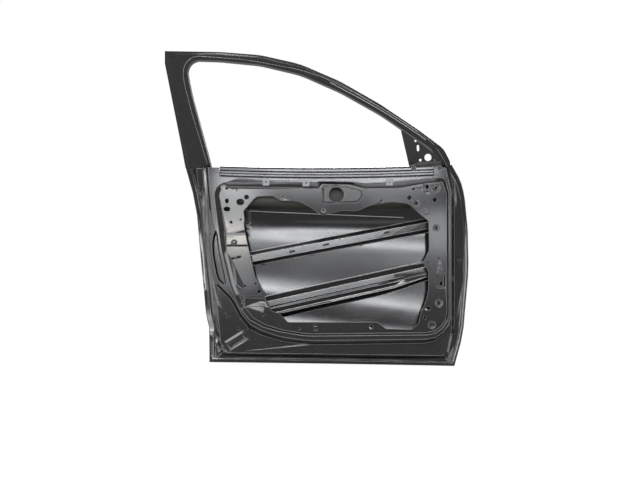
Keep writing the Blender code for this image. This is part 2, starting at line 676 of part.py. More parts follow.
def belt_reinforcement_outer():
    """The hat strip inside the skin's top edge, outside the glass."""
    lap = gap(SKIN_T, REINFORCEMENT_T)
    section = [(-0.008, lap), (-0.034, lap), (-0.042, 0.014), (-0.120, 0.030), (-0.136, 0.030),
               (-0.152, 0.016)]
    stations = [p.x for p in skin_top(HEM, 0.0) if 0.17 < p.x < front(-0.01)]
    rows = [[(x, skin_y(x, belt_line(x) + rise) - inward, belt_line(x) + rise) for x in reversed(stations)]
            for rise, inward in reversed(section)]
    grid_sheet("belt_reinforcement_outer", rows, REINFORCEMENT_T)


# Intrusion beams

def x_at(points, z):
    """X where a line that runs up or down first crosses a height."""
    for a, b in zip(points, points[1:]):
        if min(a.y, b.y) <= z <= max(a.y, b.y) and a.y != b.y:
            return a.x + (b.x - a.x) * (z - a.y) / (b.y - a.y)
    return points[0].x


def ledge_x(z, ahead):
    """X of the ledge's hem side at a height, at the front or the rear of the door."""
    return x_at([p for p in LEDGE if (p.x > CROWN_X) == ahead], z)


def blend(amount, first, second):
    """A value on the way from first to second, held between them."""
    return first + (second - first) * min(1.0, max(0.0, amount))


def beam(name, rear_z, front_z, section, end_length=0.055):
    """A pressed beam from ledge to ledge; section gives (rise, depth) across it at a station's x."""
    length, lap, steps = front(0.03) - 0.17, 0.024, 15
    shares = [blend(step / steps, lap / length, 1 - lap / length) for step in range(steps + 1)]
    shares = [0.0] + shares + [1.0]
    rows = []
    for place in range(len(section(CROWN_X))):
        row = []
        for share in shares:
            middle = blend(share, rear_z, front_z)
            near = section(blend(share, 0.17, front(0.03)))
            rise, depth = near[place]
            z = middle + rise
            x = blend(share, ledge_x(rear_z + section(0.17)[place][0], False) + 0.003,
                      ledge_x(front_z + section(front(0.03))[place][0], True) - 0.003)
            ease = (min(share, 1 - share) * length - lap) / end_length
            seat = ledge_y(x, z) + gap(INNER_T, BEAM_T)
            free = skin_y(x, z) - MASTIC_GAP - (SKIN_T + BEAM_T) / 2 - depth
            row.append((x, blend(ease, seat, free), z))
        rows.append(row)
    grid_sheet(name, list(reversed(rows)), BEAM_T)


def upper_section(x):
    """A hat: two flanges, two walls and a flat crown."""
    half = UPPER_BEAM_HALF
    return [(half, 0.0), (half - 0.008, 0.0), (half - 0.016, BEAM_DEPTH), (-half + 0.016, BEAM_DEPTH),
            (-half + 0.008, 0.0), (-half, 0.0)]


def lower_section(x):
    """A hat with a groove that runs out toward the front, where its lower half narrows."""
    high = LOWER_BEAM_HALF
    narrowed = (x - 0.85) / 0.15
    low = blend(narrowed, high, 0.026)
    groove = blend((x - GROOVE_END_X) / 0.035, 0.004, BEAM_DEPTH - 0.001)
    ridge_top, ridge_foot = blend(narrowed, -0.021, -0.010), blend(narrowed, -0.028, -0.011)
    return [(high, 0.0), (high - 0.006, 0.0), (high - 0.022, BEAM_DEPTH), (0.008, BEAM_DEPTH),
            (0.002, groove), (-0.007, groove), (ridge_top, BEAM_DEPTH), (ridge_foot, BEAM_DEPTH),
            (-low + 0.006, 0.0), (-low, 0.0)]


def mastic_pad(name, x, z):
    """A soft pad that fills the space between a beam's flange and the skin."""
    thick = MASTIC_GAP - 0.0022
    half_length, half_height = 0.018, 0.006
    rows = [[(px, skin_y(px, pz) - (SKIN_T + MASTIC_GAP) / 2, pz)
             for px in (x - half_length, x, x + half_length)] for pz in (z - half_height, z + half_height)]
    grid_sheet(name, rows, thick)


# Handle, hinge, latch and trim pieces

def outer_handle_reinforcement():
    """The stiffener inside the skin round the handle's opening."""
    lap = gap(SKIN_T, REINFORCEMENT_T) + 0.0012
    rear, ahead, low, high = HANDLE_X - 0.066, HANDLE_X + 0.101, HANDLE_Z - 0.038, HANDLE_Z + 0.036
    outline = rounded([(rear, low, 0.015), (ahead, low, 0.015), (ahead, high, 0.015), (rear, high, 0.015)])

    def against_skin(x, z):
        return skin_y(x, z) - lap

    def raised(x, z):
        return skin_y(x, z) - lap - 0.004

    lines = [FormLine(divided(outline, closed=True), against_skin),
             FormLine(divided(moved(outline, 0.006, closed=True), closed=True), against_skin),
             FormLine(moved(outline, 0.011, closed=True), raised)]
    holes = [slot(HANDLE_X, HANDLE_Z, HANDLE_OPENING[0] - 0.010, HANDLE_OPENING[1] - 0.006)]
    cut_sheet("outer_handle_reinforcement", lines, divided(outline, closed=True), holes, REINFORCEMENT_T)


def plate_on_wall(name, z, height, thick, holes):
    """A flat plate inside the hinge face, with its holes in line with the face's own."""
    width = (WALL_END - WALL_START).length - 0.016
    inward = INNER_T / 2 + CLEARANCE + thick / 2
    bpy.ops.mesh.primitive_cube_add(size=1)
    piece = bpy.context.object
    piece.name = piece.data.name = name
    piece.data.transform(Matrix.Diagonal((thick, width, height, 1.0)))
    piece.rotation_euler.z = -math.atan2(WALL_ALONG.x, WALL_ALONG.y)
    piece.location = Vector((WALL_MIDDLE.x, WALL_MIDDLE.y, z)) - WALL_OUT * inward
    into_shell(piece)
    rounding = piece.modifiers.new("corners", "BEVEL")
    rounding.width = 0.0008
    rounding.segments = 1
    for offset, size in holes:
        cutter = drill(name + "_drill", size, thick * 4)
        cutter.rotation_euler = (0.0, math.pi / 2, piece.rotation_euler.z)
        cutter.location = piece.location + Vector((0, 0, offset))
        cut = piece.modifiers.new("hole", "BOOLEAN")
        cut.operation = "DIFFERENCE"
        cut.object = cutter
    return piece


def into_shell(piece):
    """Moves a new object into the shell's collection, with its own material, under the origin empty."""
    for collection in list(piece.users_collection):
        collection.objects.unlink(piece)
    shell.objects.link(piece)
    piece.parent = origin
    piece.data.materials.append(primed_steel(piece.name))


def drill(name, radius, length):
    """A hidden cylinder that cuts a hole."""
    bpy.ops.mesh.primitive_cylinder_add(vertices=16, radius=radius, depth=length)
    cutter = bpy.context.object
    cutter.name = name
    for collection in list(cutter.users_collection):
        collection.objects.unlink(cutter)
    cutters.objects.link(cutter)
    cutter.parent = origin
    cutter.hide_render = True
    cutter.display_type = "WIRE"
    return cutter


def turned_ring(name, centre, rotation, profile, steps=16):
    """A turned piece: its profile, given as (radius, height) down the outer side, swept round."""
    mesh = bpy.data.meshes.new(name)
    edges = [(i, (i + 1) % len(profile)) for i in range(len(profile))]
    mesh.from_pydata([(r, 0.0, h) for r, h in profile], edges, [])
    piece = bpy.data.objects.new(name, mesh)
    bpy.context.scene.collection.objects.link(piece)
    into_shell(piece)
    piece.location = centre
    piece.rotation_euler = rotation
    screw = piece.modifiers.new("turned", "SCREW")
    screw.steps = screw.render_steps = steps
    screw.use_merge_vertices = True
    screw.merge_threshold = 0.00005
    return piece


def weld_nut(name, z, inward):
    """A round weld nut on the back of a hinge plate, in line with a bolt."""
    height, bore, outer = 0.008, 0.0042, 0.0085
    lean = -math.atan2(WALL_ALONG.x, WALL_ALONG.y)
    centre = Vector((WALL_MIDDLE.x, WALL_MIDDLE.y, z)) - WALL_OUT * (inward + height / 2)
    profile = [(outer, height / 2), (outer, -height / 2), (bore, -height / 2), (bore, height / 2)]
    return turned_ring(name, centre, (0.0, math.pi / 2, lean), profile)


def hinge_plates():
    """Thick plates and weld nuts behind the two hinge faces, and the check strap's plate between."""
    thick = 0.003
    behind = INNER_T / 2 + 2 * CLEARANCE + thick
    for side, z in zip(("lower", "upper"), HINGE_ZS):
        bolts = [(-BOLT_SPREAD, BOLT_R), (BOLT_SPREAD, BOLT_R)]
        plate_on_wall(side + "_hinge_reinforcement", z, 0.096, thick, bolts)
        weld_nut(side + "_hinge_nut_low", z - BOLT_SPREAD, behind)
        weld_nut(side + "_hinge_nut_high", z + BOLT_SPREAD, behind)
    strap_holes = [(0.0, 0.009), (-0.028, 0.004), (0.028, 0.004)]
    plate_on_wall("check_strap_reinforcement", CHECK_STRAP_Z, 0.080, 0.002, strap_holes)


def pull_handle_bracket():
    """The dished bracket of the door pull, on the plate's cabin side."""
    seat = PLATE_Y - gap(INNER_T, REINFORCEMENT_T)
    outline = rounded([
        (0.600, belt(-0.130), 0.012), (0.740, belt(-0.126), 0.020), (0.762, belt(-0.095), 0.025),
        (0.752, belt(-0.072), 0.012), (0.702, belt(-0.059), 0.04), (0.600, belt(-0.058), 0.004),
    ])
    lines = [FormLine(outline, seat), FormLine(moved(outline, 0.005, closed=True), seat),
             FormLine(moved(outline, 0.009, closed=True), seat - 0.006)]
    x, z, radius = PULL_HOLE
    hole = circle(x, z - 0.002, radius - 0.006, 20)
    cut_sheet("pull_handle_bracket", lines, outline, [hole], REINFORCEMENT_T)


def belt_clip(name, x, z):
    """A square clip for the trim panel, on the land under the waist."""
    half = 0.013
    y = -gap(INNER_T, INNER_T)
    outline = rounded([(x - half, z - half, 0.002), (x + half, z - half, 0.002),
                       (x + half, z + half, 0.002), (x - half, z + half, 0.002)], turn_step=math.pi / 2)
    cut_sheet(name, [FormLine(outline, y)], outline, [circle(x, z, 0.0035, 8)], INNER_T)


def rear_glass_guide():
    """The channel that guides the glass down behind the panel's rear leg, its foot on the plate."""
    half, lip = 0.008, 0.010
    top, bottom = belt(-0.02), 0.300
    seat = PLATE_Y + gap(INNER_T, INNER_T)
    stations = [(0.0, 0.050), (0.25, 0.052), (0.5, 0.054), (0.75, 0.052), (0.88, 0.040), (0.94, seat),
                (1.0, seat)]
    rows = []
    for side, inward in ((-half, lip), (-half, 0.0), (half, 0.0), (half, lip)):
        row = []
        for share, y in stations:
            z = blend(share, top, bottom)
            x = blend(share, 0.186, 0.292) + side
            flat = share > 0.9
            row.append((x + (0.004 if flat and inward and side > 0 else -0.004 if flat and inward else 0),
                        y + (0.0 if flat else inward), z))
        rows.append(row)
    grid_sheet("rear_glass_guide", list(reversed(rows)), INNER_T)


def latch_holes(shift=0.0):
    """The latch opening in the rear wall, as seen along the door's depth."""
    points = []
    for height, share in ((-0.020, 0.25), (-0.020, 0.75), (0.020, 0.75), (0.020, 0.25)):
        z = LATCH_Z + height
        points.append(Vector((blend(share, x_at(WALL_FOOT, z), x_at(WALL_TOP, z)) + shift, z)))
    return [points]


def latch_reinforcement():
    """The stiffener inside the rear wall, in the wall's own form."""
    lift, half = 0.012, 0.034
    rear, ahead = x_at(WALL_FOOT, LATCH_Z) - 0.0005, x_at(WALL_TOP, LATCH_Z) + 0.018
    outline = rounded([(rear + 0.002, LATCH_Z - half, 0.003), (ahead + 0.002, LATCH_Z - half, 0.003),
                       (ahead, LATCH_Z + half, 0.003), (rear, LATCH_Z + half, 0.003)])
    cut_sheet("latch_reinforcement", inner_lines(), outline, latch_holes(0.0019), REINFORCEMENT_T, lift)


cutters = fresh_collection("cutters")
outer_skin()
inner_panel()
window_frame_inner()
window_frame_outer()
sail_panel()
belt_reinforcement_inner()
belt_reinforcement_outer()
beam("upper_intrusion_beam", *UPPER_BEAM_ZS, upper_section)
beam("lower_intrusion_beam", *LOWER_BEAM_ZS, lower_section)
for number, share in enumerate((0.2, 0.4, 0.6, 0.8), 1):
    mastic_pad("upper_mastic_pad_%d" % number, blend(share, 0.17, front(0.03)),
               blend(share, *UPPER_BEAM_ZS) - UPPER_BEAM_HALF + 0.004)
outer_handle_reinforcement()
hinge_plates()
latch_reinforcement()
pull_handle_bracket()
for end, x, z in (("rear", 0.388, -0.046), ("middle", 0.540, -0.049), ("front", 0.857, -0.046)):
    belt_clip("belt_clip_" + end, x, belt(z))
rear_glass_guide()

ON_CABIN_SIDE = (math.pi / 2, 0.0, 0.0)
joggle_face = PLATE_Y - JOGGLE_DEPTH - INNER_T / 2 - CLEARANCE
turned_ring("trim_weld_nut", Vector((0.266, joggle_face - 0.0025, 0.470)), ON_CABIN_SIDE,
            [(0.012, 0.0025), (0.012, -0.0025), (0.0045, -0.0025), (0.0045, 0.0025)])
ledge_face = SHUT_LEDGE_Y - INNER_T / 2 - CLEARANCE
turned_ring("ledge_plug", Vector((front(0.0415), ledge_face, 0.394)), ON_CABIN_SIDE,
            [(0.004, 0.006), (0.0105, 0.0045), (0.0125, 0.0), (0.002, 0.0), (0.002, 0.003)])

HINGE_FACE = Vector((WALL_MIDDLE.x, WALL_MIDDLE.y, HINGE_ZS[1])) + WALL_OUT * (INNER_T / 2)
origin.location = -HINGE_FACE
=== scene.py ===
import math

import bmesh
import bpy
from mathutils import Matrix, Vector


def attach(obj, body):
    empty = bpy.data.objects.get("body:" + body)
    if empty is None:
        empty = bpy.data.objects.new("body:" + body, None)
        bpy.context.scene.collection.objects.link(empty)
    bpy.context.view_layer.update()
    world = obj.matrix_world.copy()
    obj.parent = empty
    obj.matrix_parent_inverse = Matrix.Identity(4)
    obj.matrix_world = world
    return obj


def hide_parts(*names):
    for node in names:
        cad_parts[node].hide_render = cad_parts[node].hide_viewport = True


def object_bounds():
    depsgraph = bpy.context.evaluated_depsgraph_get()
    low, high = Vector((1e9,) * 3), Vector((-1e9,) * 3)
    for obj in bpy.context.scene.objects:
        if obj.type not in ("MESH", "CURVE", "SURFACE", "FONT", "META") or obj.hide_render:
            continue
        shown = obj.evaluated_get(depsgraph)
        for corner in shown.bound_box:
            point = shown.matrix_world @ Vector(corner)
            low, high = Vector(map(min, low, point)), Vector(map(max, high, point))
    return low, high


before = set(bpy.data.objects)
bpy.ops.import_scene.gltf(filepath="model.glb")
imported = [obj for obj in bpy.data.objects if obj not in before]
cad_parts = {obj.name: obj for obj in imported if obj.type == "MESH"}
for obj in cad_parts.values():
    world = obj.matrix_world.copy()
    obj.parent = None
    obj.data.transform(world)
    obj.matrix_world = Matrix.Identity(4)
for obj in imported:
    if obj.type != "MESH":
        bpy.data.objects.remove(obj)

cad_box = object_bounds()
bpy.ops.object.select_all(action="DESELECT")


# Outer skin
# The 0.8 mm steel skin, seen here from its inner side through the module opening, with its edge
# folded back over the inner panel. It is dipped in black primer after hemming, like every sheet.

def primer_film():
    """Dipped primer: slow tone changes, fine orange peel, fine specks and settled dust."""
    group = bpy.data.node_groups.new("primer film", "ShaderNodeTree")
    for name, kind, value in (("Film", "NodeSocketColor", (0.012, 0.012, 0.013, 1)),
                              ("Dust", "NodeSocketColor", (0.16, 0.155, 0.15, 1)),
                              ("Roughness", "NodeSocketFloat", 0.24), ("Dustiness", "NodeSocketFloat", 0.2),
                              ("Scuffs", "NodeSocketFloat", 0.2)):
        group.interface.new_socket(name, in_out="INPUT", socket_type=kind).default_value = value
    for name, kind in (("Colour", "NodeSocketColor"), ("Roughness", "NodeSocketFloat"),
                       ("Height", "NodeSocketFloat")):
        group.interface.new_socket(name, in_out="OUTPUT", socket_type=kind)
    nodes, links = group.nodes, group.links
    given, result = nodes.new("NodeGroupInput"), nodes.new("NodeGroupOutput")
    place = nodes.new("ShaderNodeTexCoord").outputs["Object"]

    def noise(scale, detail, low, high, stretch=(1, 1, 1)):
        mapping = nodes.new("ShaderNodeMapping")
        mapping.inputs["Scale"].default_value = stretch
        texture = nodes.new("ShaderNodeTexNoise")
        texture.inputs["Scale"].default_value = scale
        texture.inputs["Detail"].default_value = detail
        ramp = nodes.new("ShaderNodeMapRange")
        ramp.inputs["From Min"].default_value = low
        ramp.inputs["From Max"].default_value = high
        links.new(place, mapping.inputs["Vector"])
        links.new(mapping.outputs["Vector"], texture.inputs["Vector"])
        links.new(texture.outputs["Fac"], ramp.inputs["Value"])
        return ramp.outputs["Result"]

    def maths(operation, *values):
        node = nodes.new("ShaderNodeMath")
        node.operation = operation
        for socket, value in zip(node.inputs, values):
            if isinstance(value, (int, float)):
                socket.default_value = value
            else:
                links.new(value, socket)
        return node.outputs["Value"]

    clouds = noise(5.0, 3, 0.3, 0.7)
    patches = noise(17.0, 5, 0.50, 0.72)
    specks = noise(420.0, 2, 0.66, 0.74)
    scratches = noise(60.0, 4, 0.62, 0.70, (1, 1, 14))
    peel = noise(700.0, 2, 0.0, 1.0)
    normal = nodes.new("ShaderNodeSeparateXYZ")
    links.new(nodes.new("ShaderNodeNewGeometry").outputs["Normal"], normal.inputs["Vector"])
    lying = maths("MAXIMUM", normal.outputs["Z"], 0.0)
    settled = maths("MULTIPLY", maths("ADD", maths("MULTIPLY", patches, 0.35), lying), given.outputs["Dustiness"])
    grime = maths("MINIMUM", maths("ADD", settled, maths("MULTIPLY", specks, given.outputs["Dustiness"])), 0.85)
    marks = maths("MULTIPLY", scratches, given.outputs["Scuffs"])
    tint = nodes.new("ShaderNodeMix")
    tint.data_type = "RGBA"
    links.new(maths("MAXIMUM", grime, maths("MULTIPLY", marks, 0.35)), tint.inputs["Factor"])
    links.new(given.outputs["Film"], tint.inputs["A"])
    links.new(given.outputs["Dust"], tint.inputs["B"])
    rough = maths("ADD", given.outputs["Roughness"], maths("MULTIPLY", clouds, 0.03))
    rough = maths("ADD", rough, maths("MULTIPLY", maths("ADD", grime, marks), 0.30))
    links.new(tint.outputs["Result"], result.inputs["Colour"])
    links.new(rough, result.inputs["Roughness"])
    links.new(maths("ADD", peel, maths("MULTIPLY", specks, 0.5)), result.inputs["Height"])
    return group


film = primer_film()


def primer(name, roughness=0.17, dustiness=0.05, scuffs=0.2, colour=(0.004, 0.004, 0.0045), bend=0.0022,
           ior=1.35, bend_highlight=0.10):
    """Black dip primer over steel, with the sheet's bends rounded off to a radius and painted lighter there as a
    painted highlight.
    """
    material = bpy.data.materials.new(name)
    material.use_nodes = True
    nodes, links = material.node_tree.nodes, material.node_tree.links
    shader = nodes["Principled BSDF"]
    shader.inputs["IOR"].default_value = ior
    coat = nodes.new("ShaderNodeGroup")
    coat.node_tree = film
    coat.inputs["Film"].default_value = (*colour, 1)
    coat.inputs["Roughness"].default_value = roughness
    coat.inputs["Dustiness"].default_value = dustiness
    coat.inputs["Scuffs"].default_value = scuffs
    bump = nodes.new("ShaderNodeBump")
    bump.inputs["Strength"].default_value = 0.02
    bump.inputs["Distance"].default_value = 0.0003
    rounded = nodes.new("ShaderNodeBevel")
    rounded.samples = 6
    rounded.inputs["Radius"].default_value = bend
    links.new(rounded.outputs["Normal"], bump.inputs["Normal"])
    turn = nodes.new("ShaderNodeVectorMath")
    turn.operation = "DOT_PRODUCT"
    links.new(rounded.outputs["Normal"], turn.inputs[0])
    links.new(nodes.new("ShaderNodeNewGeometry").outputs["Normal"], turn.inputs[1])
    # Painted highlight: where the rounded normal turns away from the face's own normal, the colour is mixed toward
    # light grey, so every bend shows a light line.
    bent = nodes.new("ShaderNodeMapRange")
    bent.inputs["From Min"].default_value = 0.998
    bent.inputs["From Max"].default_value = 0.96
    links.new(turn.outputs["Value"], bent.inputs["Value"])
    painted_bend_highlight = nodes.new("ShaderNodeMix")
    painted_bend_highlight.data_type = "RGBA"
    painted_bend_highlight.inputs["B"].default_value = (bend_highlight, bend_highlight, bend_highlight * 1.03, 1)
    links.new(bent.outputs["Result"], painted_bend_highlight.inputs["Factor"])
    links.new(coat.outputs["Colour"], painted_bend_highlight.inputs["A"])
    links.new(painted_bend_highlight.outputs["Result"], shader.inputs["Base Color"])
    links.new(coat.outputs["Roughness"], shader.inputs["Roughness"])
    links.new(coat.outputs["Height"], bump.inputs["Height"])
    links.new(bump.outputs["Normal"], shader.inputs["Normal"])
    return material


SAME_PLACE = 0.00002
CUT_SNAP = 0.00003


def merged_copy(node):
    """A copy of a packed sheet with its loose triangles joined, open in edit mode with all selected."""
    piece = bpy.data.objects.new(node + "_dressed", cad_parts[node].data.copy())
    bpy.context.scene.collection.objects.link(piece)
    bpy.ops.object.select_all(action="DESELECT")
    piece.select_set(True)
    bpy.context.view_layer.objects.active = piece
    bpy.ops.object.mode_set(mode="EDIT")
    bpy.ops.mesh.select_all(action="SELECT")
    bpy.ops.mesh.remove_doubles(threshold=SAME_PLACE)
    return piece


def finished(piece, node, material, crease):
    """Leaves edit mode, shades the sheet smooth up to its creases and puts it in its node's place."""
    bpy.ops.object.mode_set(mode="OBJECT")
    bpy.ops.object.shade_smooth_by_angle(angle=math.radians(crease), keep_sharp_edges=False)
    piece.data.materials.clear()
    piece.data.materials.append(material)
    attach(piece, "root")
    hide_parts(node)
    return piece


SHOULDER_Z, SHOULDER_SOFTNESS = -0.005, 0.018
SKIN_HALF_T = 0.0004
NEAR_SKIN = 0.0009


def skin_y(x, z):
    """Middle of the skin's sheet: two leaning faces that meet in a soft shoulder, bowed along the car."""
    rise = z - SHOULDER_Z
    above = math.log1p(math.exp(rise / SHOULDER_SOFTNESS)) - math.log(2)
    below = math.log1p(math.exp(-rise / SHOULDER_SOFTNESS)) - math.log(2)
    lean = SHOULDER_SOFTNESS * (0.15 * above + 0.04 * below)
    return 0.0726555 - lean - min(rise, 0.0) ** 2 / 11.8 - (x + 0.504475) ** 2 / 24.0


# Height, offset and its slope: a soft hollow under the shoulder, the lower character line, and the
# tuck to the sill.
PRESSED_LINES = ((0.0, 0.0, 0.0), (-0.035, -0.0006, 0.022), (-0.09, -0.0012, -0.003), (-0.155, -0.0007, -0.011),
                 (-0.21, -0.0001, -0.008), (-0.255, -0.0002, 0.010), (-0.30, -0.0012, 0.036), (-0.345, -0.0031, 0.048),
                 (-0.40, -0.0048, 0.018), (-0.45, -0.0044, -0.026), (-0.53, 0.0, 0.0))


def pressed(x, z):
    """How far the pressed lines stand outward of the skin's plain bow: they fall toward the front."""
    height = z + (0.065 if z > -0.15 else 0.065 + 0.05 * min(1.0, (-0.15 - z) / 0.1)) * (x + 0.73)
    for (top, above, lean_above), (foot, below, lean_below) in zip(PRESSED_LINES, PRESSED_LINES[1:]):
        if foot <= height <= top:
            span = top - foot
            share = (height - foot) / span
            return ((2 * share ** 3 - 3 * share ** 2 + 1) * below
                    + (share ** 3 - 2 * share ** 2 + share) * span * lean_below
                    + (3 * share ** 2 - 2 * share ** 3) * above
                    + (share ** 3 - share ** 2) * span * lean_above)
    return 0.0


def follow_skin(piece, within):
    """Moves the vertices that lie near the skin as its pressed lines have moved it."""
    for vertex in piece.data.vertices:
        x, y, z = vertex.co
        if abs(skin_y(x, z) - y) < within:
            vertex.co.y += pressed(x, z)
    piece.data.update()


skin = merged_copy("outer_skin")
mesh = bmesh.from_edit_mesh(skin.data)
for axis, low, high, step in ((0, -1.06, 0.04, 0.035), (2, -0.54, 0.20, 0.012)):
    for count in range(round((high - low) / step) + 1):
        place, normal = [0, 0, 0], [0, 0, 0]
        place[axis], normal[axis] = low + step * count, 1
        cut = set()
        for face in mesh.faces:
            if abs(face.normal.y) > 0.9 and all(abs(corner.co.y - skin_y(corner.co.x, corner.co.z)) < NEAR_SKIN
                                                for corner in face.verts):
                cut.add(face)
                cut.update(face.edges)
                cut.update(face.verts)
        bmesh.ops.bisect_plane(mesh, geom=list(cut), plane_co=place, plane_no=normal, dist=CUT_SNAP)
bmesh.update_edit_mesh(skin.data)
bpy.ops.object.mode_set(mode="OBJECT")
# The sign of the distance gives the side of the sheet. Near the handle opening some long edges sag
# past the middle, so a few outward corners end up on the inner side.
for vertex in skin.data.vertices:
    x, y, z = vertex.co
    off = y - skin_y(x, z)
    if abs(off) < NEAR_SKIN:
        inside = min(1.0, max(0.0, (z + 0.525) / 0.03), max(0.0, (x + 1.00) / 0.03), max(0.0, (0.02 - x) / 0.03))
        vertex.co.y = skin_y(x, z) + math.copysign(SKIN_HALF_T, off) + pressed(x, z) * inside
bpy.ops.object.mode_set(mode="EDIT")
finished(skin, "outer_skin", primer("skin_primer", roughness=0.07, dustiness=0.02, ior=1.31, bend_highlight=0.02),
         30)


def skin_normal(x, z, side):
    """The shape's own normal on the skin, so that its long faces reflect evenly."""
    step = 0.002
    across = (skin_y(x + step, z) + pressed(x + step, z) - skin_y(x - step, z) - pressed(x - step, z)) / (2 * step)
    upward = (skin_y(x, z + step) + pressed(x, z + step) - skin_y(x, z - step) - pressed(x, z - step)) / (2 * step)
    return Vector((-across, 1.0, -upward)).normalized() * side


normals = [Vector(corner.vector) for corner in skin.data.corner_normals]
for face in skin.data.polygons:
    places = [skin.data.vertices[number].co for number in face.vertices]
    broad = all(-0.48 < place.z < 0.16 and -0.97 < place.x < -0.02
                and abs(place.y - skin_y(place.x, place.z) - pressed(place.x, place.z)) < 0.0007 for place in places)
    if broad and abs(face.normal.y) > 0.9:
        for loop, place in zip(face.loop_indices, places):
            normals[loop] = skin_normal(place.x, place.z, math.copysign(1.0, face.normal.y))
skin.data.normals_split_custom_set(normals)


# Inner panel
# The deep-drawn 1.0 mm panel that carries everything: hinge and latch walls, seal band, land,
# the sunk plate round the module opening, and its dimples and pockets.

FLAT = math.radians(0.4)


def dressed_sheet(node, material, crease=9):
    """A sheet with many small forms: its flats joined into whole faces, its bends shaded smooth."""
    piece = merged_copy(node)
    bpy.ops.mesh.dissolve_limited(angle_limit=FLAT)
    finished(piece, node, material, crease)
    even = piece.modifiers.new("even shading", "WEIGHTED_NORMAL")
    even.keep_sharp = True
    bpy.ops.object.modifier_apply(modifier=even.name)
    return piece


PANEL_HALF_T = 0.0005
PLATE_Y, BAND_Y = -0.0333445, -0.0273445
JOGGLE_DEPTH, JOGGLE_TOP, JOGGLE_FOOT, JOGGLE_WALL = 0.005, -0.054, -0.106, 0.008
SWAGE_ALONG = Vector((0.853, 0.0, 0.522))
SWAGE_UP = Vector((-0.522, 0.0, 0.853))
SWAGE_MIDDLE = Vector((-0.8300, 0.0, -0.4715))
SWAGE_X, SWAGE_Z = (-0.885, -0.782), (-0.509, -0.430)


def joggled_plate(x, z):
    """The raised bead across the plate's rear leg."""
    wall = min(JOGGLE_TOP - z, z - JOGGLE_FOOT) / JOGGLE_WALL
    return PLATE_Y - JOGGLE_DEPTH * min(1.0, max(0.0, wall))


def drained_pocket(x, z):
    """The seat beside the lower beam's rear end: its floor leans down and out, so it looks dark."""
    down = min(1.0, max(0.0, (z + 0.337) / 0.034)) * min(1.0, max(0.0, (-0.295 - z) / 0.006))
    return PLATE_Y + 0.0060 * down * min(1.0, max(0.0, (x + 0.8045) / 0.006))


def ribbed_band(x, z):
    """Two soft ribs side by side in the lower rear corner of the seal band."""
    place = Vector((x, 0.0, z)) - SWAGE_MIDDLE
    along, up = place.dot(SWAGE_ALONG), place.dot(SWAGE_UP)
    ends = min(1.0, max(0.0, (0.044 - abs(along)) / 0.008))
    rise = max(0.0, 1 - abs(abs(up) - 0.0165) / 0.0125)
    return BAND_Y - 0.0052 * ends * rise * rise * (3 - 2 * rise)


def pressed_again(piece, x_span, z_span, level, reach, planes, shape):
    """Cuts the flat faces of one zone along the planes and moves their vertices onto the shape."""
    mesh = bmesh.from_edit_mesh(piece.data)

    def in_zone(place):
        return (x_span[0] < place.x < x_span[1] and z_span[0] < place.z < z_span[1]
                and abs(place.y - level) < reach)

    for place, normal in planes:
        faces = [face for face in mesh.faces if any(in_zone(corner.co) for corner in face.verts)
                 and abs(face.calc_center_median().y - level) < 2 * reach]
        around = set(faces)
        for face in faces:
            around.update(face.edges)
            around.update(face.verts)
        bmesh.ops.bisect_plane(mesh, geom=list(around), plane_co=place, plane_no=normal, dist=CUT_SNAP)
    mesh.normal_update()
    for corner in mesh.verts:
        if in_zone(corner.co):
            side = 1 if corner.normal.y > 0 else -1
            corner.co.y = shape(corner.co.x, corner.co.z) + side * PANEL_HALF_T
    bmesh.update_edit_mesh(piece.data)


def level_cuts(axis, places):
    """Planes across one axis at the places given."""
    return [([place if axis == each else 0 for each in range(3)], [1 if axis == each else 0 for each in range(3)])
            for place in places]


panel = merged_copy("inner_panel")
pressed_again(panel, (-0.8690, -0.70), (-0.150, 0.02), PLATE_Y, 0.0065,
              level_cuts(2, (JOGGLE_TOP, JOGGLE_TOP - JOGGLE_WALL, JOGGLE_FOOT + JOGGLE_WALL, JOGGLE_FOOT)),
              joggled_plate)
pressed_again(panel, (-0.8045, -0.70), (-0.342, -0.289), PLATE_Y, 0.0065,
              level_cuts(2, (-0.337, -0.326, -0.314, -0.303, -0.301, -0.295)) + level_cuts(0, (-0.8045, -0.7985)),
              drained_pocket)
rib_cuts = [(SWAGE_MIDDLE + SWAGE_UP * step * 0.002, SWAGE_UP) for step in range(-15, 16)]
rib_cuts += [(SWAGE_MIDDLE + SWAGE_ALONG * step, SWAGE_ALONG)
             for step in (-0.044, -0.040, -0.036, 0.036, 0.040, 0.044)]
pressed_again(panel, SWAGE_X, SWAGE_Z, BAND_Y, 0.0075, rib_cuts, ribbed_band)
bpy.ops.mesh.select_all(action="SELECT")
bpy.ops.mesh.remove_doubles(threshold=SAME_PLACE)
bpy.ops.mesh.select_all(action="DESELECT")
bpy.ops.mesh.select_mode(type="FACE")
mesh = bmesh.from_edit_mesh(panel.data)
for face in mesh.faces:
    place = face.calc_center_median()
    face.select_set(not (-0.89 < place.x < -0.775 and -0.515 < place.z < -0.425))
bmesh.update_edit_mesh(panel.data)
bpy.ops.mesh.dissolve_limited(angle_limit=FLAT)
finished(panel, "inner_panel", primer("panel_primer", roughness=0.09, dustiness=0.04, scuffs=0.25, bend=0.003),
         9)
for edge in panel.data.edges:
    place = (panel.data.vertices[edge.vertices[0]].co + panel.data.vertices[edge.vertices[1]].co) / 2
    if SWAGE_X[0] < place.x < SWAGE_X[1] and SWAGE_Z[0] < place.z < SWAGE_Z[1]:
        edge.use_edge_sharp = False
even = panel.modifiers.new("even shading", "WEIGHTED_NORMAL")
even.keep_sharp = True
bpy.context.view_layer.objects.active = panel
bpy.ops.object.modifier_apply(modifier=even.name)


# Window frame and mirror plate
# Two pressed halves welded along the seal flange, the rolled beads on the cabin side, and the
# triangular plate that the mirror is screwed to at the front of the window.

